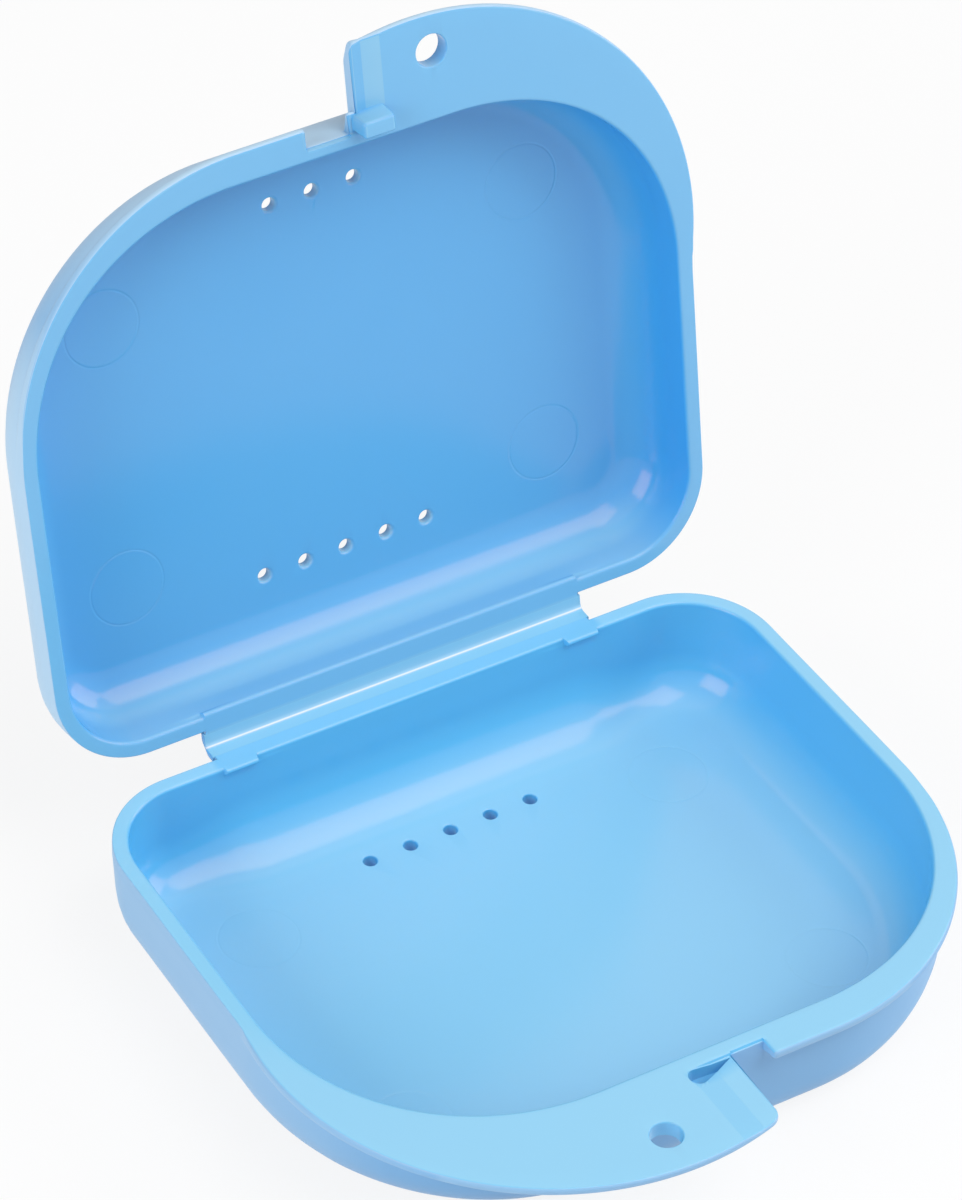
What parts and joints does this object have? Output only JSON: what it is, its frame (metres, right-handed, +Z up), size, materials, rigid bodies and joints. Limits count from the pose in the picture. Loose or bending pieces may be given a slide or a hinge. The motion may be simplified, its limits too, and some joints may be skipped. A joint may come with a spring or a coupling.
{
  "type": "orthodontic retainer case",
  "caption": "D-shaped plastic case for a dental retainer: a deep tray and a shallower vented lid on a living hinge, with offset thumb tabs, lanyard holes and a latch tongue.",
  "frame": {"origin": "middle of the tray's flat underside, where it stands on the table", "axes": "+Z up, +X along the hinge to the right as seen from the front, +Y from the thumb tabs back to the hinge"},
  "size_m": [0.0812, 0.0975, 0.0872],
  "materials": {
    "case_plastic": "moulded polypropylene with a soft gloss, light blue",
    "film_plastic": "the same polypropylene, paler where it is thin"
  },
  "bodies": {
    "base": {"base_floor": "case_plastic", "base_wall": "case_plastic", "base_thumb_tab": "case_plastic", "base_hinge_leaf": "case_plastic", "hinge_ears": "case_plastic", "hinge_film": "film_plastic"},
    "lid": {"lid_top": "case_plastic", "lid_wall": "case_plastic", "lid_thumb_tab": "case_plastic", "latch_tongue": "case_plastic", "lid_hinge_leaf": "case_plastic", "lid_hinge_rib": "case_plastic"}
  },
  "joints": [
    {"name": "lid_hinge", "type": "hinge", "parent": "base", "child": "lid", "pos_m": [0, 0.0342, 0.0139], "axis": [1, 0, 0], "range_deg": [-75, 102.4], "deforming": ["hinge_film"]}
  ]
}
